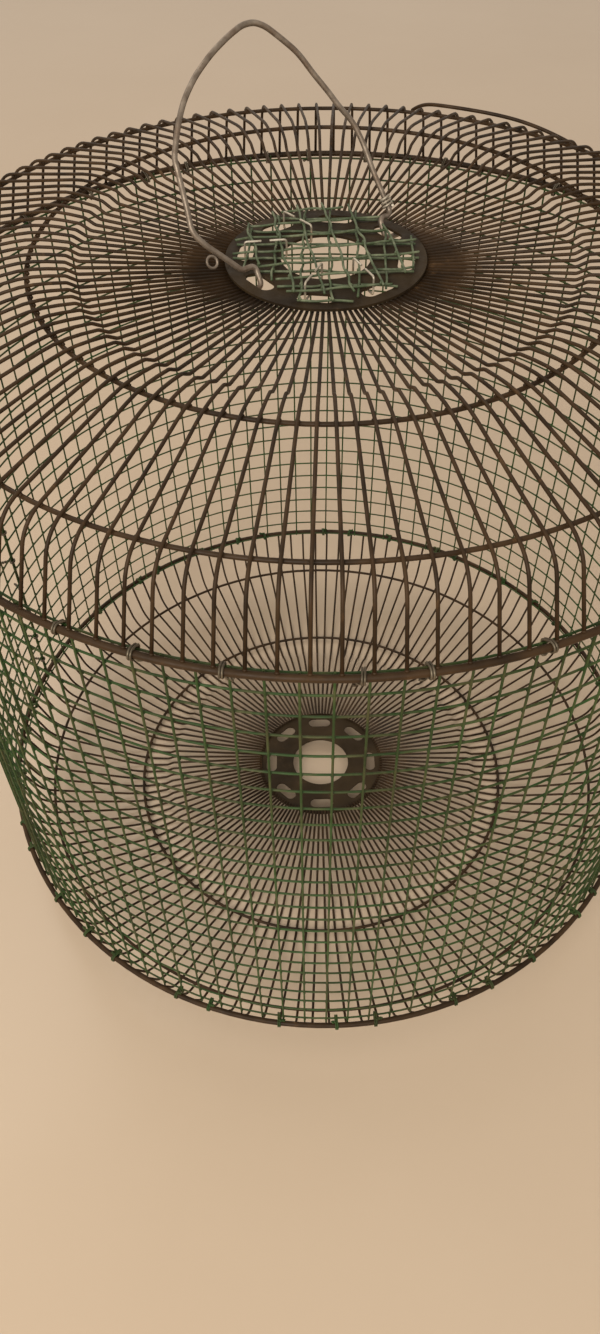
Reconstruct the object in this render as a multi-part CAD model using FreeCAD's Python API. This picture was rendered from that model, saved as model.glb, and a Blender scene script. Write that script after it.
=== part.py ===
import FreeCAD, Part
import math
import os

# A parrot cage made from two round wire guards and a rolled sheet of coated welded mesh.
# The origin is on the floor, below the centre of the cage. +Z is up and +Y is away from the viewer.
# All lengths are millimetres.

# Shared clearance: wires that are welded, tied or resting on each other stay this far apart.
weld_gap = 0.3

# Wire diameters.
rim_wire = 3.2
hoop_wire = 2.0
radial_wire = 1.6
mesh_wire = 1.1
rim_tie_wire = 1.0
seam_tie_wire = 1.0
loose_wire = 2.0
patch_wire = 1.1
patch_tie_wire = 1.0
bail_wire = 2.5
wrap_wire = 1.2
eye_wire = 1.2

# Both guards: centre lines, seen in a plane through the axis. A rise is measured from the rim's
# centre plane, upwards on the roof guard and downwards on the floor guard.
rim_radius = 220.0
rim_spacing = 320.2
roof_shoulder_radius = 207.6
floor_shoulder_radius = 207.9
crown_radius = 136.5
step_radius = 116.5
step_run = 5.0
step_height = 3.0
crown_rise = 50.7
crown_dip = 1.9
roof_shoulder_rise = 35.0
floor_shoulder_rise = 27.4
roof_hub_rise = 42.8
floor_hub_rise = 39.8
step_bend = 4.0
crown_bend = 60.0
shoulder_bend = 18.0
roof_wire_count = 120
floor_wire_count = 128

# Hub plate of each guard: a flat washer with a ring of slots.
hub_radius = 46.9
hub_hole_radius = 21.0
hub_thickness = 1.2
hub_seat = 1.8
slot_radius = 37.5
slot_width = 7.6
slot_length = 17.0
slot_count = 8
roof_slot_turn = -8.5
floor_slot_turn = 0.0

# Wall mesh.
mesh_square = 12.7
mesh_overrun = 0.8
seam_azimuth = 165.0
seam_tie_count = 9

# Ties between the mesh and the two rims.
tie_slack = 0.8
top_tie_count = 36
bottom_tie_count = 40
tie_wander = 2.0
tie_wander_step = 137.0
tie_search_step = 0.1
tie_sides = 8

# The loose wire over the roof's shoulder, as (azimuth, direction from the middle of the shoulder's
# bend, lift off the radial wires). A direction is an angle up from straight outwards, a lift a share
# of the wire.
loose_wire_stops_and_shares = (
    (74.0, 36.0, 0.05),
    (71.5, 60.0, 0.3),
    (69.0, 76.0, 0.5),
    (65.5, 75.0, 0.5),
    (60.0, 64.0, 0.5),
    (55.2, 55.0, 0.5),
    (50.5, 42.0, 0.4),
    (46.0, 29.0, 0.3),
)

# The patch over the roof's hub: two layers of mesh, each with long wires below cross wires.
patch_radius = 43.0
patch_square = 12.7
upper_patch_turn = 8.0
upper_patch_shifts = (2.1, 18.0)
lower_patch_turn = -2.0
lower_patch_shifts = (9.6, 2.0)
patch_notch_depth = 8.4
patch_notch_half_width = 9.2
patch_tie_inset = 1.9
patch_tie_bend = 1.2
patch_tie_opening_shares = (0.4, 0.6)
# Azimuths of each tie's leg through a slot and of its leg through the hub's hole.
patch_tie_legs = (
    (302.5, 310.0),
    (254.3, 263.0),
    (121.0, 110.0),
    (177.0, 168.0),
)

# The bail. Its hinge line lies under the roof's hub plate, through two opposite slots.
bail_lean = 32.0
bail_reach = 50.0
bail_height = 101.0
foot_inner = 36.5
foot_toe = 44.3
foot_outer = 43.7
foot_height = 9.5
foot_bend = 2.5
run_share = 0.45
bail_outline_shares = (
    (-1.00, 0.166),
    (-1.14, 0.241),
    (-1.22, 0.306),
    (-1.19, 0.381),
    (-1.15, 0.546),
    (-1.14, 0.596),
    (-1.00, 0.709),
    (-0.88, 0.785),
    (-0.71, 0.858),
    (-0.48, 0.926),
    (-0.26, 0.973),
    (-0.09, 1.000),
    (0.03, 0.999),
    (0.13, 0.974),
    (0.24, 0.920),
    (0.38, 0.844),
    (0.47, 0.752),
    (0.57, 0.668),
    (0.64, 0.597),
    (0.74, 0.523),
    (0.79, 0.423),
    (0.81, 0.287),
    (0.85, 0.179),
)

# The binding round the bail's right leg and the small eye beside its left leg.
wrap_start = 12.8
wrap_spacing = 1.6
wrap_turns = 3
eye_radius = 2.5
eye_height = 20.0

QUARTER_TURN = 90
FULL_TURN = 360
SHARP_CORNERS = 1
UP = FreeCAD.Vector(0, 0, 1)
ORIGIN = FreeCAD.Vector(0, 0, 0)


def polar(radius, azimuth, height):
    angle = math.radians(azimuth)
    return FreeCAD.Vector(radius * math.cos(angle), radius * math.sin(angle), height)


def tangent_at(azimuth):
    return polar(1, azimuth + QUARTER_TURN, 0)


def filleted_path(points, bends):
    # Straight runs between the points, joined by tangent arcs of the given radii.
    edges = []
    start = points[0]
    for index, bend in enumerate(bends, 1):
        corner = points[index]
        back = (points[index - 1] - corner).normalize()
        ahead = (points[index + 1] - corner).normalize()
        half = back.getAngle(ahead) / 2
        reach = bend / math.tan(half)
        middle_ray = (back + ahead).normalize()
        middle = corner + middle_ray * (bend / math.sin(half) - bend)
        arc_start = corner + back * reach
        arc_end = corner + ahead * reach
        edges.append(Part.LineSegment(start, arc_start).toShape())
        edges.append(Part.Arc(arc_start, middle, arc_end).toShape())
        start = arc_end
    edges.append(Part.LineSegment(start, points[-1]).toShape())
    return Part.Wire(edges)


def swept_wire(path, start, direction, diameter):
    section = Part.Wire(Part.makeCircle(diameter / 2, start, direction))
    return path.makePipeShell([section], True, False)


def bent_wire(points, bends, diameter):
    path = filleted_path(points, bends)
    return swept_wire(path, points[0], points[1] - points[0], diameter)


def easy_bends(points):
    # The largest bend that leaves each run a straight middle.
    bends = []
    for before, corner, after in zip(points, points[1:], points[2:]):
        back = before - corner
        ahead = after - corner
        shorter = min(back.Length, ahead.Length)
        bends.append(run_share * shorter * math.tan(back.getAngle(ahead) / 2))
    return bends


def ring(radius, diameter, centre, axis):
    return Part.makeTorus(radius, diameter / 2, centre, axis)


def tie_loop(centre, toward, beside, radius, diameter):
    # A many-sided loop of wire in a plane. Its ends nearly meet on the side away from its seat.
    points = []
    for index in range(tie_sides):
        turn = math.pi + (2 * index + 1) * math.pi / tie_sides
        ray = toward * math.cos(turn) + beside * math.sin(turn)
        points.append(centre + ray * (radius / math.cos(math.pi / tie_sides)))
    opening = (points[0] + points[-1]) / 2
    lip = (points[0] - opening).normalize() * (weld_gap / 2)
    path = Part.makePolygon([opening + lip] + points + [opening - lip])
    section = Part.Wire(Part.makeCircle(diameter / 2, opening + lip, lip))
    return path.makePipeShell([section], True, False, SHARP_CORNERS)


def turned(shape, azimuth):
    return shape.rotated(ORIGIN, UP, azimuth)


def save(name, solids):
    os.makedirs("parts", exist_ok=True)
    shape = solids[0] if len(solids) == 1 else Part.makeCompound(solids)
    shape.exportStep("parts/" + name + ".step")


# Guards. A profile point is (radius, rise), listed from the hub outwards.

def guard_profile(hub_rise, shoulder_radius, shoulder_rise):
    # The radial wires end against the inner face of the hub plate and clear its edge as they rise.
    edge_rise = hub_rise - hub_thickness / 2 - weld_gap - radial_wire / 2
    step_top = crown_rise - crown_dip
    step_foot = (step_radius - step_run / 2, step_top - step_height)
    climb = (step_foot[1] - edge_rise) / (step_foot[0] - hub_radius)
    return [
        (hub_radius - hub_seat, edge_rise - climb * hub_seat),
        step_foot,
        (step_radius + step_run / 2, step_top),
        (crown_radius, crown_rise),
        (shoulder_radius, shoulder_rise),
        rim_weld_point(shoulder_radius, shoulder_rise),
    ]


def rim_weld_point(shoulder_radius, shoulder_rise):
    # A radial wire runs at the rim's centre line and stops just outside the rim's surface.
    inward = rim_radius - shoulder_radius
    back_off = (rim_wire / 2 + weld_gap) / math.hypot(inward, shoulder_rise)
    return (rim_radius - inward * back_off, shoulder_rise * back_off)


def crown_top(profile):
    # The highest rise of the wire's centre line, on the rounded crown.
    step, crown, shoulder = profile[2:5]
    climb = math.atan2(crown[1] - step[1], crown[0] - step[0])
    fall = math.atan2(crown[1] - shoulder[1], shoulder[0] - crown[0])
    reach = crown_bend * math.tan((climb + fall) / 2)
    return crown[1] - reach * math.sin(climb) + crown_bend * (1 - math.cos(climb))


def bend_marks(profile, index, bend):
    # Where a bend of the radial wires starts, its middle, and the centre of its arc.
    before, corner, after = [FreeCAD.Vector(r, 0, rise) for r, rise in profile[index - 1:index + 2]]
    back = (before - corner).normalize()
    ahead = (after - corner).normalize()
    half = back.getAngle(ahead) / 2
    start = corner + back * (bend / math.tan(half))
    centre = corner + (back + ahead).normalize() * (bend / math.sin(half))
    middle = centre + (corner - centre).normalize() * bend
    return start, middle, centre


def inside_wire(mark, centre):
    # Where a hoop's centre line lies against the inside of a radial wire.
    depth = radial_wire / 2 + weld_gap + hoop_wire / 2
    return mark + (centre - mark).normalize() * depth


def hub_plate(height, slot_turn):
    base = FreeCAD.Vector(0, 0, height - hub_thickness / 2)
    plate = Part.makeCylinder(hub_radius, hub_thickness, base)
    plate = plate.cut(Part.makeCylinder(hub_hole_radius, hub_thickness, base))
    slot = obround_slot(base)
    for index in range(slot_count):
        plate = plate.cut(turned(slot, slot_turn + index * FULL_TURN / slot_count))
    return plate


def obround_slot(base):
    straight = slot_length - slot_width
    corner = base + FreeCAD.Vector(slot_radius - slot_width / 2, -straight / 2, 0)
    slot = Part.makeBox(slot_width, straight, hub_thickness, corner)
    for side in (-1, 1):
        end = base + FreeCAD.Vector(slot_radius, side * straight / 2, 0)
        slot = slot.fuse(Part.makeCylinder(slot_width / 2, hub_thickness, end))
    return slot.removeSplitter()


def save_guard(name, rim_height, side, hub_rise, slot_turn, profile, wire_count):
    def level(rise):
        return rim_height + side * rise

    save(name + "_rim", [ring(rim_radius, rim_wire, FreeCAD.Vector(0, 0, rim_height), UP)])
    _, crown_middle, crown_centre = bend_marks(profile, 3, crown_bend)
    shoulder_start, _, shoulder_centre = bend_marks(profile, 4, shoulder_bend)
    inner = inside_wire(crown_middle, crown_centre)
    outer = inside_wire(shoulder_start, shoulder_centre)
    for part, place in (("_inner_hoop", inner), ("_shoulder_hoop", outer)):
        save(name + part, [ring(place.x, hoop_wire, FreeCAD.Vector(0, 0, level(place.z)), UP)])
    points = [FreeCAD.Vector(radius, 0, level(rise)) for radius, rise in profile]
    wire = bent_wire(points, [step_bend, step_bend, crown_bend, shoulder_bend], radial_wire)
    pitch = FULL_TURN / wire_count
    half = wire_count // 2
    save(name + "_rear_wires", [turned(wire, index * pitch) for index in range(half)])
    save(name + "_front_wires", [turned(wire, index * pitch) for index in range(half, wire_count)])
    save(name + "_hub_plate", [hub_plate(level(hub_rise), slot_turn)])


roof_profile = guard_profile(roof_hub_rise, roof_shoulder_radius, roof_shoulder_rise)
floor_profile = guard_profile(floor_hub_rise, floor_shoulder_radius, floor_shoulder_rise)
bottom_rim_height = crown_top(floor_profile) + radial_wire / 2
top_rim_height = bottom_rim_height + rim_spacing

roof = (1, roof_hub_rise, roof_slot_turn, roof_profile, roof_wire_count)
floor = (-1, floor_hub_rise, floor_slot_turn, floor_profile, floor_wire_count)
save_guard("top_guard", top_rim_height, *roof)
save_guard("bottom_guard", bottom_rim_height, *floor)


# Wall. The uprights stand inside the rims, and the hoops inside the uprights.

upright_radius = rim_radius - rim_wire / 2 - weld_gap - mesh_wire / 2
wall_hoop_radius = upright_radius - mesh_wire - weld_gap
seam_angle = math.degrees((mesh_wire + weld_gap) / upright_radius)
upright_count = math.floor(2 * math.pi * upright_radius / mesh_square) + 1
upright_pitch = (FULL_TURN - seam_angle) / (upright_count - 1)
first_upright = seam_azimuth + seam_angle / 2
upright_azimuths = [first_upright + index * upright_pitch for index in range(upright_count)]
wall_hoop_count = math.floor(rim_spacing / mesh_square) + 1
wall_middle = (top_rim_height + bottom_rim_height) / 2
lowest_wall_hoop = wall_middle - (wall_hoop_count - 1) * mesh_square / 2
highest_wall_hoop = wall_middle + (wall_hoop_count - 1) * mesh_square / 2


def wall_upright():
    foot = FreeCAD.Vector(upright_radius, 0, bottom_rim_height - mesh_overrun)
    return Part.makeCylinder(mesh_wire / 2, rim_spacing + 2 * mesh_overrun, foot)


def wall_hoop():
    # An open hoop whose two ends stand in line with the edges of the two seam uprights.
    start = polar(wall_hoop_radius, first_upright, lowest_wall_hoop)
    section = Part.Face(Part.Wire(Part.makeCircle(mesh_wire / 2, start, tangent_at(first_upright))))
    return section.revolve(ORIGIN, UP, FULL_TURN - seam_angle)


def seam_tie():
    loop_radius = (seam_tie_wire + mesh_wire + weld_gap) / 2 + mesh_wire / 2 + weld_gap
    centre = polar(upright_radius, seam_azimuth, lowest_wall_hoop + mesh_square / 2)
    outward = polar(1, seam_azimuth, 0)
    return tie_loop(centre, outward, tangent_at(seam_azimuth), loop_radius, seam_tie_wire)


upright = wall_upright()
save("wall_mesh_vertical_wires", [turned(upright, azimuth) for azimuth in upright_azimuths])
hoop = wall_hoop()
hoops = [hoop.translated(UP * index * mesh_square) for index in range(wall_hoop_count)]
save("wall_mesh_lower_hoops", hoops[:wall_hoop_count // 2])
save("wall_mesh_upper_hoops", hoops[wall_hoop_count // 2:])
tie = seam_tie()
tie_stride = (wall_hoop_count - 1) // seam_tie_count
tie_heights = [(index * tie_stride + 1) * mesh_square for index in range(seam_tie_count)]
save("wall_seam_ties", [tie.translated(UP * height) for height in tie_heights])


# Rim ties: each ring goes round a rim and the mesh hoop nearest to it, between the wires.

def apart(one, other):
    return abs((one - other + FULL_TURN / 2) % FULL_TURN - FULL_TURN / 2)


def is_clear(azimuth, radial_count):
    pitch = FULL_TURN / radial_count
    nearest = round(azimuth / pitch) * pitch
    past_radial = math.degrees((rim_tie_wire + radial_wire) / 2 / rim_radius + weld_gap / rim_radius)
    past_upright = math.degrees(((rim_tie_wire + mesh_wire) / 2 + weld_gap) / upright_radius)
    if apart(azimuth, nearest) < past_radial:
        return False
    return min(apart(azimuth, upright) for upright in upright_azimuths) > past_upright


def clear_azimuth(target, radial_count):
    azimuth = target
    while not is_clear(azimuth, radial_count):
        azimuth += tie_search_step
    return azimuth


def rim_ties(count, rim_height, hoop_height, radial_count):
    across = wall_hoop_radius - rim_radius
    down = hoop_height - rim_height
    span = math.hypot(across, down)
    inner_radius = (span + rim_wire / 2 + mesh_wire / 2) / 2 + tie_slack
    shift = (inner_radius - rim_wire / 2 - weld_gap) / span
    ties = []
    for index in range(count):
        wander = tie_wander * math.sin(math.radians(index * tie_wander_step))
        azimuth = clear_azimuth(index * FULL_TURN / count + wander, radial_count)
        centre = polar(rim_radius + across * shift, azimuth, rim_height + down * shift)
        toward = polar(-across / span, azimuth, -down / span)
        beside = tangent_at(azimuth).cross(toward)
        ties.append(tie_loop(centre, toward, beside, inner_radius + rim_tie_wire / 2, rim_tie_wire))
    return ties


save("top_rim_ties", rim_ties(top_tie_count, top_rim_height, highest_wall_hoop, roof_wire_count))
save("bottom_rim_ties", rim_ties(bottom_tie_count, bottom_rim_height, lowest_wall_hoop, floor_wire_count))


# The loose wire climbs over the roof's shoulder and slides down the outside of it.

def shoulder_loose_wire():
    centre = bend_marks(roof_profile, 4, shoulder_bend)[2]
    touch = shoulder_bend + radial_wire / 2 + weld_gap + loose_wire / 2
    stops = []
    for azimuth, direction, share in loose_wire_stops_and_shares:
        reach = touch + share * loose_wire
        out = reach * math.cos(math.radians(direction))
        up = reach * math.sin(math.radians(direction))
        stops.append(polar(centre.x + out, azimuth, top_rim_height + centre.z + up))
    line = Part.BSplineCurve()
    line.interpolate(stops)
    path = Part.Wire([line.toShape()])
    return swept_wire(path, stops[0], line.tangent(line.FirstParameter)[0], loose_wire)


save("shoulder_loose_wire", [shoulder_loose_wire()])


# The patch lies on the roof's hub plate and is notched round the bail's feet.

roof_hub_top = top_rim_height + roof_hub_rise + hub_thickness / 2
patch_step = patch_wire + weld_gap
patch_layer_count = 4
hinge_azimuth = roof_slot_turn + FULL_TURN / slot_count
hinge_axis = polar(1, hinge_azimuth, 0)
hinge_side = polar(1, hinge_azimuth + QUARTER_TURN, 0)


def outside_notches(start, end):
    # Splits a straight run where it crosses the two notches and gives back what is left of it.
    whole = end - start
    cuts = []
    for side in (-1, 1):
        low = 0.0
        high = 1.0
        along = (hinge_axis.dot(start) * side, hinge_axis.dot(whole) * side)
        across = (hinge_side.dot(start), hinge_side.dot(whole))
        floor = patch_radius - patch_notch_depth
        limits = (
            (along[0] - floor, along[1]),
            (patch_notch_half_width - across[0], -across[1]),
            (patch_notch_half_width + across[0], across[1]),
        )
        for value, rate in limits:
            if rate > 0:
                low = max(low, -value / rate)
            else:
                high = min(high, -value / rate)
        if low < high:
            cuts.append((low, high))
    ends = [0.0]
    for low, high in sorted(cuts):
        ends += [low, high]
    ends.append(1.0)
    return [(start + whole * low, start + whole * high) for low, high in zip(ends[::2], ends[1::2])]


def patch_wires(turn, shift, level):
    # Parallel wires across a disc, in the direction given by the turn from +X.
    along = polar(1, turn, 0)
    across = polar(1, turn + QUARTER_TURN, 0)
    height = roof_hub_top + weld_gap + patch_wire / 2 + level * patch_step
    wires = []
    offset = shift - math.floor((shift + patch_radius) / patch_square) * patch_square
    while offset < patch_radius:
        half = math.sqrt(patch_radius ** 2 - offset ** 2)
        middle = across * offset
        for start, end in outside_notches(middle - along * half, middle + along * half):
            length = (end - start).Length
            if length > patch_square:
                foot = start + UP * height
                wires.append(Part.makeCylinder(patch_wire / 2, length, foot, along))
        offset += patch_square
    return wires


def patch_tie(slot_azimuth, hole_azimuth):
    # An open loop through the hub's hole and a slot, round the patch and the plate's inner ring.
    top = UP * (roof_hub_top + patch_layer_count * patch_step + weld_gap + patch_tie_wire / 2)
    bottom = UP * (roof_hub_top - hub_thickness - weld_gap - patch_tie_wire / 2)
    outer = polar(slot_radius, slot_azimuth, 0)
    inner = polar(hub_hole_radius - patch_tie_inset - patch_tie_wire / 2, hole_azimuth, 0)
    inward = inner - outer
    first, last = [outer + inward * share + top for share in patch_tie_opening_shares]
    points = [first, outer + top, outer + bottom, inner + bottom, inner + top, last]
    return bent_wire(points, [patch_tie_bend] * (len(points) - 2), patch_tie_wire)


lower_long, lower_cross = lower_patch_shifts
upper_long, upper_cross = upper_patch_shifts
save("patch_lower_long_wires", patch_wires(lower_patch_turn, lower_long, 0))
save("patch_lower_cross_wires", patch_wires(lower_patch_turn - QUARTER_TURN, lower_cross, 1))
save("patch_upper_long_wires", patch_wires(upper_patch_turn, upper_long, 2))
save("patch_upper_cross_wires", patch_wires(upper_patch_turn - QUARTER_TURN, upper_cross, 3))
save("patch_tie_wires", [patch_tie(*legs) for legs in patch_tie_legs])


# The bail is drawn in its own plane: sideways along the hinge line, and up from it.

hinge_height = roof_hub_top - hub_thickness - weld_gap - bail_wire / 2
bail_up = UP * math.cos(math.radians(bail_lean)) + hinge_side * math.sin(math.radians(bail_lean))
bail_normal = hinge_axis.cross(bail_up)


def in_bail(sideways, height):
    return UP * hinge_height + hinge_axis * sideways + bail_up * height


def bail_foot(side):
    # From the toe under the plate's edge, up through the slot and out to the leg.
    stops = (
        (side * foot_toe, 0),
        (side * foot_inner, 0),
        (side * foot_inner, foot_height),
        (side * foot_outer, foot_height),
    )
    return [in_bail(sideways, height) for sideways, height in stops]


def bail():
    left = bail_foot(-1)
    right = bail_foot(1)[::-1]
    arch = [in_bail(across * bail_reach, up * bail_height) for across, up in bail_outline_shares]
    points = left + arch + right
    legs = [left[-1]] + arch + [right[0]]
    foot_bends = [foot_bend] * (len(left) - 1)
    bends = foot_bends + easy_bends(legs) + foot_bends
    return bent_wire(points, bends, bail_wire)


def bail_wrap():
    # A helix round the straight lower run of the right leg.
    foot = in_bail(foot_outer, foot_height)
    across, up = bail_outline_shares[-1]
    leg = (in_bail(across * bail_reach, up * bail_height) - foot).normalize()
    radius = bail_wire / 2 + weld_gap + wrap_wire / 2
    helix = Part.makeHelix(wrap_spacing, wrap_spacing * wrap_turns, radius)
    start = FreeCAD.Vector(radius, 0, 0)
    section = Part.Wire(Part.makeCircle(wrap_wire / 2, start, FreeCAD.Vector(0, 1, 0)))
    wrap = Part.Wire(helix.Edges).makePipeShell([section], True, True)
    base = foot + leg * (wrap_start - foot_height)
    wrap.Placement = FreeCAD.Placement(base, FreeCAD.Rotation(UP, leg))
    return wrap


def bail_eye():
    # The small eye stands in the bail's plane, against the outside of the left leg's slanted run.
    low, high = [in_bail(s * bail_reach, h * bail_height) for s, h in bail_outline_shares[:2]]
    run = (high - low).normalize()
    outward = run.cross(bail_normal)
    if outward.dot(hinge_axis) > 0:
        outward = outward * -1
    along = (eye_height - bail_outline_shares[0][1] * bail_height) / run.dot(bail_up)
    off = bail_wire / 2 + weld_gap + eye_wire / 2 + eye_radius
    return ring(eye_radius, eye_wire, low + run * along + outward * off, bail_normal)


save("bail_wire", [bail()])
save("bail_wrap", [bail_wrap()])
save("bail_side_eye", [bail_eye()])
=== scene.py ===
import math
import random

import bmesh
import bpy
from mathutils import Matrix, Vector


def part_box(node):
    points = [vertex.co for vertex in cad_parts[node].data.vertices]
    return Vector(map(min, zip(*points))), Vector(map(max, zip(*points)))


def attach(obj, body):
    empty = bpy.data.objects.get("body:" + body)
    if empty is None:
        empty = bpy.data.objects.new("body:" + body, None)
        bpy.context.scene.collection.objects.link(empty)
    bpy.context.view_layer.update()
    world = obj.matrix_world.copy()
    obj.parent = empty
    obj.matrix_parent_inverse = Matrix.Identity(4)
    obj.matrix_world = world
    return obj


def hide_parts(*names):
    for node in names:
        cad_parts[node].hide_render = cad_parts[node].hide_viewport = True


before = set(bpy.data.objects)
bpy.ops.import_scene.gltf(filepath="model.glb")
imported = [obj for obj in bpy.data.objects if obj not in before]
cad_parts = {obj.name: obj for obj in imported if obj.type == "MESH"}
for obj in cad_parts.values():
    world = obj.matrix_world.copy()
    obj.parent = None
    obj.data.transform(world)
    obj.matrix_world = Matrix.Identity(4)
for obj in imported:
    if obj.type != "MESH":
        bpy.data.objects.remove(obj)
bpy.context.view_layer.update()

# A parrot cage made from two wire guards and rolled welded mesh, on a pale floor.
# Lengths are metres, in the frame of the construction.

mm = 0.001
UP = Vector((0, 0, 1))

# Camera, fitted to the rings of the two guards in the photograph. Its focal length is in pixels of
# an image with this height, and the sensor is as tall as the image.
camera_place = Vector((-14.8, -448.4, 642.2)) * mm
camera_pitch = 49.21
camera_roll = -0.849
camera_near = 10 * mm
sensor_height = 36.0
image_height_px = 1334
focal_length_px = 1003.1

floor_half_width = 6.0

mesh_hoops = ("wall_mesh_lower_hoops", "wall_mesh_upper_hoops")

# Sizes that the construction states.
weld_gap = 0.3 * mm
radial_wire = 1.6 * mm
mesh_wire = 1.1 * mm
rim_tie_wire = 1.0 * mm
seam_tie_wire = 1.0 * mm
patch_wire = 1.1 * mm

# The radial wires' corners, as (radius, rise from the rim's centre plane) in millimetres, from the
# hub outwards, and the radius of the bend at each corner between the two ends.
hub_ends = {"top_guard": (45.1, 41.0), "bottom_guard": (45.1, 37.9)}
step_and_crown = [(114.0, 45.8), (119.0, 48.8), (136.5, 50.7)]
shoulders = {"top_guard": (207.6, 35.0), "bottom_guard": (207.9, 27.4)}
radial_bends = [4.0 * mm, 4.0 * mm, 60.0 * mm, 18.0 * mm]
radial_counts = {"top_guard": 120, "bottom_guard": 128}
bend_step = math.radians(9)

# Welds, as (half length across the joint, radius). A weld is drawn through stops along it, which
# are shares of its half length, and its tips keep a share of its radius.
mesh_weld = (1.0 * mm, 0.8 * mm)
guard_weld = (0.8 * mm, 1.0 * mm)
patch_weld = (1.1 * mm, 0.8 * mm)
weld_stops = (-1.0, -0.8, -0.4, 0.0, 0.4, 0.8, 1.0)
weld_tip = 0.05

# How far wires are out of true, as standard deviations: a radial wire's slant is in radians.
radial_slant = 0.0016
patch_sway = 0.45 * mm
patch_lift = 0.12 * mm
patch_bend_spacing = 7 * mm

# Ties go twice round their wires. A turn lies this share of the tie's wire off the tie's middle.
turn_offset = 0.52
twist_steps = 10

# What differs from one rim tie to the next, as (least, most). The tail's foot is given in shares of
# the rim's wire and of the tie's wire.
rim_tie_slack = (0.1, 0.7)
rim_tie_lean = (-0.5, 0.5)
rim_tail_along = (0.6, 1.0)
rim_tail_away = (0.1, 0.5)
rim_tail_length = (2.5, 4.5)
rim_tail_turns = (0.8, 1.4)
rim_tail_inset = 0.4
rim_tail_drop = 0.8

# The seam's ties. The loop round the two uprights narrows a little towards one of them.
seam_tie_slack = 0.1 * mm
seam_tie_narrowing = 0.999
seam_tail_sideways = (-0.8, 0.8)
seam_tail_upwards = (-0.8, 0.4)
seam_tail_length = 6 * mm
seam_tail_turns = 1.8

# Sides of a drawn wire, and of the smallest wires and welds.
wire_sides = 8
small_sides = 6

# Points that lie this close are one, and runs whose slopes differ less than this are parallel.
same_point = 1e-6
parallel = 1e-9


def span(node):
    low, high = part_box(node)
    return Vector(low), Vector(high)


def ring_of(node):
    # (centre-line radius, height, wire radius) of a closed hoop.
    low, high = span(node)
    wire = (high.z - low.z) / 2
    return (high.x - low.x) / 2 - wire, (high.z + low.z) / 2, wire


def polar(radius, angle, height):
    return Vector((radius * math.cos(angle), radius * math.sin(angle), height))


def angle_of(point):
    return math.atan2(point.y, point.x)


def islands(*nodes):
    # The separate solids of the nodes, each as the list of its points.
    shape = bmesh.new()
    for node in nodes:
        shape.from_mesh(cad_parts[node].data)
    bmesh.ops.remove_doubles(shape, verts=shape.verts, dist=same_point)
    shape.verts.ensure_lookup_table()
    seen = set()
    found = []
    for first in shape.verts:
        if first.index in seen:
            continue
        group = []
        queue = [first]
        seen.add(first.index)
        while queue:
            vert = queue.pop()
            group.append(vert.co.copy())
            for edge in vert.link_edges:
                other = edge.other_vert(vert)
                if other.index not in seen:
                    seen.add(other.index)
                    queue.append(other)
        found.append(group)
    shape.free()
    return found


def middle_of(points):
    low = Vector([min(p[axis] for p in points) for axis in range(3)])
    high = Vector([max(p[axis] for p in points) for axis in range(3)])
    return (low + high) / 2


# Mesh building.

def tube(shape, points, radius, sides=wire_sides, closed=False):
    # Adds a round wire along the points. The radius is one number, or one for each point.
    count = len(points)
    radii = radius if isinstance(radius, list) else [radius] * count
    rings = []
    normal = None
    for index, point in enumerate(points):
        if closed:
            ahead = points[(index + 1) % count] - points[index - 1]
        else:
            ahead = points[min(index + 1, count - 1)] - points[max(index - 1, 0)]
        ahead.normalize()
        if normal is None:
            normal = ahead.orthogonal()
        normal = (normal - ahead * normal.dot(ahead)).normalized()
        side = ahead.cross(normal)
        ring = []
        for step in range(sides):
            turn = math.tau * step / sides
            offset = (normal * math.cos(turn) + side * math.sin(turn)) * radii[index]
            ring.append(shape.verts.new(point + offset))
        rings.append(ring)
    for low, high in zip(rings, rings[1:]):
        join_rings(shape, low, high)
    if closed:
        join_rings(shape, rings[-1], nearest_turn(rings[-1], rings[0]))
    else:
        shape.faces.new(rings[0][::-1])
        shape.faces.new(rings[-1])


def join_rings(shape, low, high):
    count = len(low)
    for step in range(count):
        after = (step + 1) % count
        shape.faces.new((low[step], low[after], high[after], high[step]))


def nearest_turn(ring, other):
    # The other ring, started at the point that lies nearest to this ring's first point.
    start = min(range(len(other)), key=lambda k: (other[k].co - ring[0].co).length)
    return other[start:] + other[:start]


def bead(shape, centre, along, size, sides=wire_sides):
    # A small rounded weld, long along one direction.
    direction = along.normalized()
    length, radius = size
    points = [centre + direction * length * stop for stop in weld_stops]
    radii = [max(radius * math.sqrt(1 - stop * stop), radius * weld_tip) for stop in weld_stops]
    tube(shape, points, radii, sides)


def finish_piece(name, shape, material, body):
    mesh = bpy.data.meshes.new(name)
    bmesh.ops.recalc_face_normals(shape, faces=shape.faces)
    shape.to_mesh(mesh)
    shape.free()
    for polygon in mesh.polygons:
        polygon.use_smooth = True
    piece = bpy.data.objects.new(name, mesh)
    bpy.context.scene.collection.objects.link(piece)
    mesh.materials.append(material)
    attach(piece, body)
    return piece


# Materials.

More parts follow.
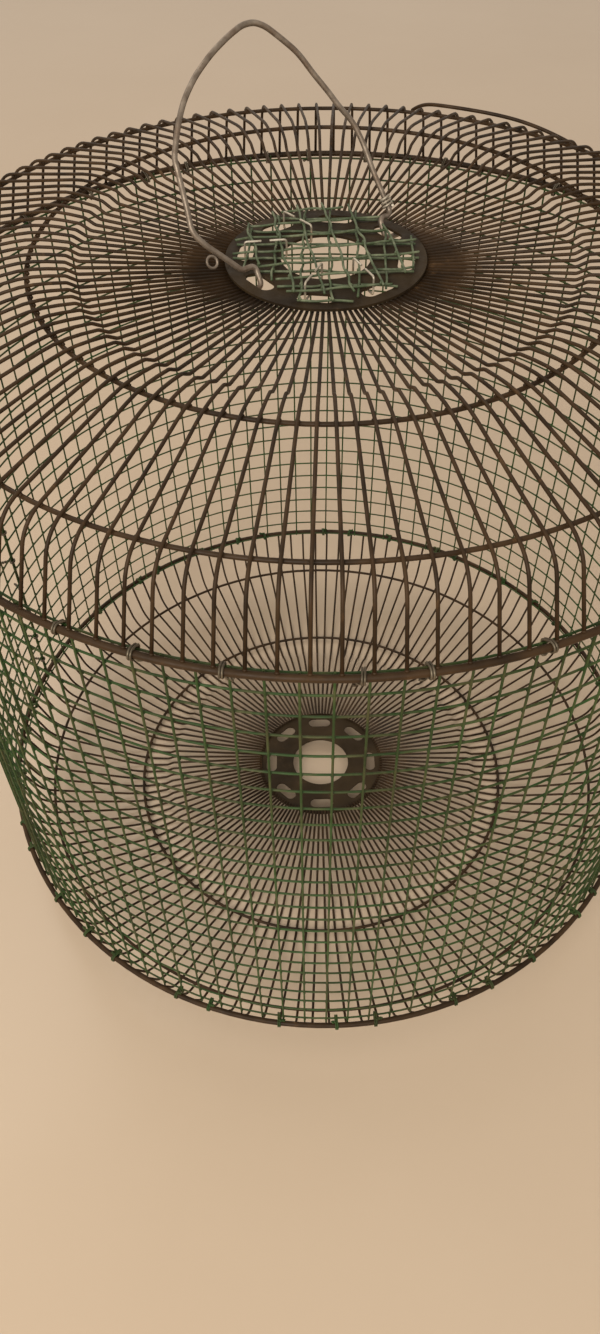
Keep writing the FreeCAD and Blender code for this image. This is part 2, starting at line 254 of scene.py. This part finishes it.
class Nodes:
    # A short way to write a node tree.
    def __init__(self, name):
        self.material = bpy.data.materials.new(name)
        self.material.use_nodes = True
        self.tree = self.material.node_tree
        self.shader = self.tree.nodes["Principled BSDF"]
        self.place = self.tree.nodes.new("ShaderNodeTexCoord").outputs["Object"]

    def link(self, output, target):
        self.tree.links.new(output, target)

    def noise(self, scale, detail=4.0, rough=0.55):
        node = self.tree.nodes.new("ShaderNodeTexNoise")
        node.inputs["Scale"].default_value = scale
        node.inputs["Detail"].default_value = detail
        node.inputs["Roughness"].default_value = rough
        self.link(self.place, node.inputs["Vector"])
        return node.outputs["Fac"]

    def ramp(self, value, stops):
        node = self.tree.nodes.new("ShaderNodeValToRGB")
        elements = node.color_ramp.elements
        while len(elements) < len(stops):
            elements.new(0.5)
        for element, (position, colour) in zip(elements, stops):
            element.position = position
            element.color = (*colour, 1.0)
        self.link(value, node.inputs["Fac"])
        return node.outputs["Color"]

    def grey(self, value, stops):
        return self.ramp(value, [(position, (level, level, level)) for position, level in stops])

    def mix(self, factor, one, other):
        node = self.tree.nodes.new("ShaderNodeMix")
        node.data_type = "RGBA"
        self.link(factor, node.inputs["Factor"])
        self.link(one, node.inputs["A"])
        self.link(other, node.inputs["B"])
        return node.outputs["Result"]

    def bump(self, height, strength, distance):
        node = self.tree.nodes.new("ShaderNodeBump")
        node.inputs["Strength"].default_value = strength
        node.inputs["Distance"].default_value = distance
        self.link(height, node.inputs["Height"])
        self.link(node.outputs["Normal"], self.shader.inputs["Normal"])

    def set(self, name, value):
        self.shader.inputs[name].default_value = value


def worn_and_highlit_finish(name, tone, wear_and_highlight, worn_and_highlit, roughness, grain, settings):
    # Two tones, with a second pair of tones mixed in through a noise mask: on the patch that pair
    # is painted highlight, elsewhere it is wear showing through. The first four are (noise, ramp
    # stops), the grain is (noise, strength, depth), and a noise is its arguments.
    finish = Nodes(name)
    whole = finish.ramp(finish.noise(*tone[0]), tone[1])
    worn_and_highlit_tones = finish.ramp(finish.noise(*wear_and_highlight[0]), wear_and_highlight[1])
    where = finish.grey(finish.noise(*worn_and_highlit[0]), worn_and_highlit[1])
    finish.link(finish.mix(where, whole, worn_and_highlit_tones), finish.shader.inputs["Base Color"])
    rough = finish.grey(finish.noise(*roughness[0]), roughness[1])
    finish.link(rough, finish.shader.inputs["Roughness"])
    finish.bump(finish.noise(*grain[0]), grain[1], grain[2])
    for setting, value in settings.items():
        finish.set(setting, value)
    return finish.material


def guard_paint():
    return worn_and_highlit_finish(
        "guard_paint",
        tone=((55,), [(0.35, (0.021, 0.011, 0.004)), (0.68, (0.056, 0.030, 0.012))]),
        wear_and_highlight=((420,), [(0.3, (0.10, 0.048, 0.017)), (0.7, (0.18, 0.10, 0.044))]),
        worn_and_highlit=((130, 6, 0.65), [(0.60, 0.0), (0.76, 0.6)]),
        roughness=((260,), [(0.3, 0.38), (0.75, 0.66)]),
        grain=((1500, 3), 0.25, 0.2 * mm),
        settings={"Specular IOR Level": 0.2},
    )


def hub_paint():
    return worn_and_highlit_finish(
        "hub_paint",
        tone=((40,), [(0.3, (0.017, 0.010, 0.004)), (0.7, (0.045, 0.028, 0.012))]),
        wear_and_highlight=((300,), [(0.35, (0.07, 0.038, 0.016)), (0.7, (0.14, 0.095, 0.05))]),
        worn_and_highlit=((90, 8, 0.7), [(0.58, 0.0), (0.74, 0.55)]),
        roughness=((200,), [(0.3, 0.45), (0.7, 0.75)]),
        grain=((900, 4), 0.3, 0.3 * mm),
        settings={"Specular IOR Level": 0.18},
    )


def mesh_coating():
    return worn_and_highlit_finish(
        "mesh_coating",
        tone=((30,), [(0.32, (0.018, 0.034, 0.007)), (0.7, (0.034, 0.082, 0.019))]),
        wear_and_highlight=((500,), [(0.3, (0.065, 0.056, 0.021)), (0.7, (0.13, 0.11, 0.046))]),
        worn_and_highlit=((75, 5, 0.6), [(0.45, 0.0), (0.72, 0.7)]),
        roughness=((200,), [(0.3, 0.35), (0.7, 0.6)]),
        grain=((1300, 3), 0.2, 0.2 * mm),
        settings={"Specular IOR Level": 0.25},
    )


def patch_coating():
    return worn_and_highlit_finish(
        "patch_coating",
        tone=((60,), [(0.3, (0.030, 0.050, 0.018)), (0.7, (0.068, 0.098, 0.040))]),
        # Painted highlight: these pale sage tones, mixed over much of the wires, stand in for light
        # catching the coating.
        wear_and_highlight=((400,), [(0.3, (0.13, 0.16, 0.085)), (0.7, (0.24, 0.26, 0.16))]),
        worn_and_highlit=((110, 6, 0.65), [(0.42, 0.0), (0.66, 0.85)]),
        roughness=((250,), [(0.3, 0.4), (0.7, 0.7)]),
        grain=((1100, 4), 0.35, 0.3 * mm),
        settings={},
    )


def galvanised(name, dark, light, stain):
    return worn_and_highlit_finish(
        name,
        tone=((180,), [(0.3, dark), (0.7, light)]),
        wear_and_highlight=((700,), [(0.3, stain), (0.7, tuple(channel * 0.6 for channel in stain))]),
        worn_and_highlit=((95, 6, 0.6), [(0.48, 0.0), (0.7, 0.7)]),
        roughness=((350,), [(0.3, 0.32), (0.7, 0.6)]),
        grain=((1600, 3), 0.25, 0.2 * mm),
        settings={"Metallic": 0.65},
    )


def floor_tile():
    tile = Nodes("floor_tile")
    stops = [(0.3, (0.575, 0.448, 0.325)), (0.7, (0.610, 0.482, 0.355))]
    tile.link(tile.ramp(tile.noise(1.6, 5), stops), tile.shader.inputs["Base Color"])
    tile.set("Roughness", 0.22)
    tile.set("Specular IOR Level", 0.35)
    return tile.material


paint = guard_paint()
plate_paint = hub_paint()
green = mesh_coating()
patch_green_with_painted_highlights = patch_coating()
bail_steel = galvanised("bail_steel", (0.16, 0.125, 0.095), (0.34, 0.28, 0.22), (0.16, 0.09, 0.05))
tie_steel = galvanised("tie_steel", (0.34, 0.29, 0.22), (0.62, 0.56, 0.46), (0.30, 0.22, 0.14))
rim_steel = galvanised(
    "rim_tie_steel", (0.07, 0.055, 0.035), (0.20, 0.165, 0.115), (0.07, 0.04, 0.02)
)


def dress(material, *names):
    for name in names:
        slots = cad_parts[name].data.materials
        if not slots:
            slots.append(material)
        for index in range(len(slots)):
            slots[index] = material


for guard in ("top_guard", "bottom_guard"):
    dress(paint, guard + "_rim", guard + "_shoulder_hoop", guard + "_inner_hoop")
    dress(plate_paint, guard + "_hub_plate")
dress(paint, "shoulder_loose_wire")
dress(green, "wall_mesh_vertical_wires", *mesh_hoops)
dress(patch_green_with_painted_highlights, "patch_lower_long_wires", "patch_lower_cross_wires")
dress(patch_green_with_painted_highlights, "patch_upper_long_wires", "patch_upper_cross_wires")
dress(rim_steel, "wall_seam_ties", "top_rim_ties", "bottom_rim_ties")
dress(tie_steel, "patch_tie_wires", "bail_wrap")
dress(bail_steel, "bail_wire", "bail_side_eye")


# The wall's welds.

def add_mesh_welds():
    # The coating swells where an upright crosses a hoop.
    outside = span("wall_mesh_vertical_wires")[1].x
    inside = span(mesh_hoops[0])[1].x
    radius = (outside - mesh_wire + inside) / 2
    angles = [angle_of(middle_of(wire)) for wire in islands("wall_mesh_vertical_wires")]
    heights = [middle_of(hoop).z for hoop in islands(*mesh_hoops)]
    shape = bmesh.new()
    for angle in angles:
        outward = polar(1, angle, 0)
        for height in heights:
            bead(shape, polar(radius, angle, height), outward, mesh_weld, small_sides)
    finish_piece("wall_mesh_welds", shape, green, "cage")


# The guards' radial wires and their welds.

def rounded(corners, bends):
    # A flat outline with an arc at each inner corner, as points along its way.
    points = [corners[0]]
    for index, bend in enumerate(bends, 1):
        corner = corners[index]
        back = (corners[index - 1] - corner).normalized()
        ahead = (corners[index + 1] - corner).normalized()
        half = back.angle(ahead) / 2
        centre = corner + (back + ahead).normalized() * (bend / math.sin(half))
        first = corner + back * (bend / math.tan(half)) - centre
        last = corner + ahead * (bend / math.tan(half)) - centre
        steps = max(math.ceil((math.pi - 2 * half) / bend_step), 2)
        for step in range(steps + 1):
            points.append(centre + first.slerp(last, step / steps).normalized() * bend)
    points.append(corners[-1])
    return points


def radial_profile(guard):
    # The centre line of a radial wire, as (radius, height), from the hub plate out to the rim.
    rim_radius, rim_height, rim_wire = ring_of(guard + "_rim")
    side = 1 if guard == "top_guard" else -1
    corners = [hub_ends[guard]] + step_and_crown + [shoulders[guard]]
    corners = [Vector((radius * mm, rim_height + side * rise * mm)) for radius, rise in corners]
    rim = Vector((rim_radius, rim_height))
    corners.append(rim + (corners[-1] - rim).normalized() * (rim_wire + weld_gap))
    return rounded(corners, radial_bends)


def onto_plane(point, angle):
    # The point turned about the axis onto the vertical half plane at the angle.
    return polar(math.hypot(point.x, point.y), angle, point.z)


def add_radial_wires(guard, seed):
    # Each wire runs over the crown and the rounded shoulder, a little out of true.
    dice = random.Random(seed)
    profile = radial_profile(guard)
    rim_radius = ring_of(guard + "_rim")[0]
    hoops = [ring_of(guard + part) for part in ("_shoulder_hoop", "_inner_hoop")]
    count = radial_counts[guard]
    wires = bmesh.new()
    welds = bmesh.new()
    for index in range(count):
        angle = math.tau * index / count
        slant = dice.gauss(0, radial_slant)
        line = [polar(radius, angle + slant * (radius / rim_radius - 0.5), height)
                for radius, height in profile]
        tube(wires, line, radial_wire / 2)
        for radius, height, wire_radius in hoops:
            core = polar(radius, angle, height)
            touch = min(line, key=lambda point: (point - core).length)
            outward = (onto_plane(touch, angle) - core).normalized()
            bead(welds, core + outward * wire_radius, outward, guard_weld)
        bead(welds, line[-1], line[-1] - line[-2], guard_weld)
    piece = finish_piece(guard + "_radial_wires", wires, paint, "cage")
    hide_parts(guard + "_front_wires", guard + "_rear_wires")
    finish_piece(guard + "_welds", welds, paint, "cage")


# The ties.

def hull_loop(centres, steps=10):
    # A taut loop round two circles, given as (sideways, up, radius), in a plane of its own.
    (x0, y0, r0), (x1, y1, r1) = centres
    gap = math.hypot(x1 - x0, y1 - y0)
    heading = math.atan2(y1 - y0, x1 - x0)
    lean = math.acos((r0 - r1) / gap)
    points = []
    for step in range(steps + 1):
        turn = heading + lean + (math.tau - 2 * lean) * step / steps
        points.append((x0 + r0 * math.cos(turn), y0 + r0 * math.sin(turn)))
    for step in range(steps + 1):
        turn = heading - lean + 2 * lean * step / steps
        points.append((x1 + r1 * math.cos(turn), y1 + r1 * math.sin(turn)))
    return points


def twisted_tail(shape, start, along, length, wire, turns):
    # The two ends of a tie, twisted round each other.
    along = along.normalized()
    side = along.orthogonal().normalized()
    other = along.cross(side)
    steps = int(turns * twist_steps)
    for phase in (0, math.pi):
        points = []
        for step in range(steps + 1):
            share = step / steps
            turn = math.tau * turns * share + phase
            swing = (side * math.cos(turn) + other * math.sin(turn)) * wire / 2
            points.append(start + along * length * share + swing)
        tube(shape, points, wire / 2, small_sides)


def add_rim_ties(name, rim, hoop_at_top, material, seed):
    # Each tie goes round the rim and the mesh hoop next to it and ends in a twist.
    dice = random.Random(seed)
    wire = rim_tie_wire
    rim_radius, rim_height, rim_wire = ring_of(rim)
    low, high = span(mesh_hoops[0])[0], span(mesh_hoops[1])[1]
    hoop_radius = high.x - mesh_wire / 2
    hoop_height = high.z - mesh_wire / 2 if hoop_at_top else low.z + mesh_wire / 2
    side = -1 if hoop_at_top else 1
    foot_radius = rim_radius - rim_wire * rim_tail_inset
    foot_height = rim_height + side * (rim_wire + wire * rim_tail_drop)
    shape = bmesh.new()
    for tie in islands(name):
        angle = angle_of(middle_of(tie))
        slack = dice.uniform(*rim_tie_slack) * mm
        circles = (
            (rim_radius, rim_height, rim_wire + wire / 2 + slack / 3),
            (hoop_radius, hoop_height, mesh_wire / 2 + wire / 2 + slack),
        )
        outline = hull_loop(circles)
        lean = dice.uniform(*rim_tie_lean)
        tangent = polar(1, angle + math.pi / 2, 0)
        for turn in (-1, 1):
            points = []
            for radius, height in outline:
                share = (rim_radius - radius) / (rim_radius - hoop_radius)
                slide = tangent * (turn * wire * turn_offset + share * lean * mm)
                points.append(polar(radius, angle, height) + slide)
            tube(shape, points, wire / 2, small_sides, closed=True)
        foot = polar(foot_radius, angle, foot_height)
        along = tangent * dice.choice((-1, 1)) * dice.uniform(*rim_tail_along)
        along += UP * side * dice.uniform(*rim_tail_away)
        length = dice.uniform(*rim_tail_length) * mm
        twisted_tail(shape, foot, along, length, wire, dice.uniform(*rim_tail_turns))
    piece = finish_piece(name + "_twisted", shape, material, "cage")
    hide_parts(name)


def add_seam_ties():
    # Two turns round the pair of edge uprights, and a short twist.
    dice = random.Random(5)
    shape = bmesh.new()
    wire = seam_tie_wire
    reach = (mesh_wire + weld_gap) / 2
    radius = mesh_wire / 2 + wire / 2 + seam_tie_slack
    outline = hull_loop(((-reach, 0, radius), (reach, 0, radius * seam_tie_narrowing)))
    for tie in islands("wall_seam_ties"):
        centre = middle_of(tie)
        angle = angle_of(centre)
        outward = polar(1, angle, 0)
        tangent = polar(1, angle + math.pi / 2, 0)
        for turn in (-1, 1):
            rise = UP * turn * wire * turn_offset
            points = [centre + tangent * x + outward * y + rise for x, y in outline]
            tube(shape, points, wire / 2, small_sides, closed=True)
        along = outward + tangent * dice.uniform(*seam_tail_sideways)
        along += UP * dice.uniform(*seam_tail_upwards)
        foot = centre + outward * (radius + wire / 2)
        twisted_tail(shape, foot, along, seam_tail_length, wire, seam_tail_turns)
    piece = finish_piece("wall_seam_ties_twisted", shape, rim_steel, "cage")
    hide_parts("wall_seam_ties")


# The patch over the roof's hub.

def ends_of(points):
    # The two far ends of a straight wire's centre line.
    middle = middle_of(points)
    far = max(points, key=lambda point: (point - middle).length)
    along = (far - middle).normalized()
    reach = max((point - middle).dot(along) for point in points)
    along = Vector((along.x, along.y, 0)).normalized()
    return middle - along * reach, middle + along * reach


def crossing(a, b, c, d):
    # Where two runs cross in plan, at the height half way between them, or None.
    run = b - a
    other = d - c
    scale = run.x * other.y - run.y * other.x
    if abs(scale) < parallel:
        return None
    gap = c - a
    share = (gap.x * other.y - gap.y * other.x) / scale
    share_other = (gap.x * run.y - gap.y * run.x) / scale
    if not (0 <= share <= 1 and 0 <= share_other <= 1):
        return None
    return (a + run * share + c + other * share_other) / 2


def smooth(points, steps=4):
    # A smooth line through the points.
    ends = [points[0] * 2 - points[1]] + points + [points[-1] * 2 - points[-2]]
    line = []
    for a, b, c, d in zip(ends, ends[1:], ends[2:], ends[3:]):
        for step in range(steps):
            t = step / steps
            line.append((b * 2 + (c - a) * t + (a * 2 - b * 5 + c * 4 - d) * t ** 2
                         + (b * 3 - a - c * 3 + d) * t ** 3) / 2)
    line.append(points[-1].copy())
    return line


def add_patch(layer, seed):
    # One offcut of mesh: each wire a little bent, with swollen crossings.
    dice = random.Random(seed)
    shape = bmesh.new()
    families = []
    for part in ("_long_wires", "_cross_wires"):
        runs = [ends_of(wire) for wire in islands(layer + part)]
        families.append(runs)
        for start, end in runs:
            across = (end - start).cross(UP).normalized()
            count = max(int((end - start).length / patch_bend_spacing), 2)
            points = []
            for step in range(count + 1):
                sway = across * dice.gauss(0, patch_sway) + UP * dice.gauss(0, patch_lift)
                points.append(start.lerp(end, step / count) + sway)
            tube(shape, smooth(points), patch_wire / 2)
    for start, end in families[0]:
        for low, high in families[1]:
            place = crossing(start, end, low, high)
            if place is not None:
                bead(shape, place, UP, patch_weld, small_sides)
    piece = finish_piece(layer + "_bent", shape, patch_green_with_painted_highlights, "cage")
    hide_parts(layer + "_long_wires", layer + "_cross_wires")


add_mesh_welds()
add_radial_wires("top_guard", 1)
add_radial_wires("bottom_guard", 2)
add_rim_ties("top_rim_ties", "top_guard_rim", True, rim_steel, 3)
add_rim_ties("bottom_rim_ties", "bottom_guard_rim", False, green, 4)
add_seam_ties()
add_patch("patch_lower", 11)
add_patch("patch_upper", 12)


# Stage: a plain pale floor in soft warm light.

def add_floor():
    shape = bmesh.new()
    bmesh.ops.create_grid(shape, x_segments=1, y_segments=1, size=floor_half_width)
    mesh = bpy.data.meshes.new("floor")
    shape.to_mesh(mesh)
    shape.free()
    floor = bpy.data.objects.new("floor", mesh)
    bpy.context.scene.collection.objects.link(floor)
    mesh.materials.append(floor_tile())


def add_lamp(name, place, target, size, power, colour):
    lamp = bpy.data.lights.new(name, "AREA")
    lamp.size = size
    lamp.energy = power
    lamp.color = colour
    holder = bpy.data.objects.new(name, lamp)
    holder.location = place
    aim = Vector(target) - Vector(place)
    holder.rotation_euler = aim.to_track_quat("-Z", "Y").to_euler()
    bpy.context.scene.collection.objects.link(holder)


def add_world():
    world = bpy.data.worlds.new("room")
    world.use_nodes = True
    background = world.node_tree.nodes["Background"]
    background.inputs["Color"].default_value = (1.0, 0.92, 0.82, 1.0)
    background.inputs["Strength"].default_value = 0.62
    bpy.context.scene.world = world


def add_camera():
    camera = bpy.data.cameras.new("camera")
    camera.sensor_fit = "VERTICAL"
    camera.sensor_height = sensor_height
    camera.lens = sensor_height * focal_length_px / image_height_px
    camera.clip_start = camera_near
    holder = bpy.data.objects.new("camera", camera)
    tilt = Matrix.Rotation(math.radians(90 - camera_pitch), 4, "X")
    roll = Matrix.Rotation(math.radians(camera_roll), 4, "Z")
    holder.matrix_world = Matrix.Translation(camera_place) @ tilt @ roll
    bpy.context.scene.collection.objects.link(holder)
    bpy.context.scene.camera = holder


bpy.context.scene.view_settings.view_transform = "Standard"
add_camera()
add_world()
add_floor()
add_lamp("key", (-0.7, -2.0, 1.7), (0, -0.1, 0.1), 1.6, 46, (1.0, 0.93, 0.83))
add_lamp("top", (-1.2, 1.3, 2.6), (0, 0, 0.3), 1.6, 14, (1.0, 0.94, 0.86))
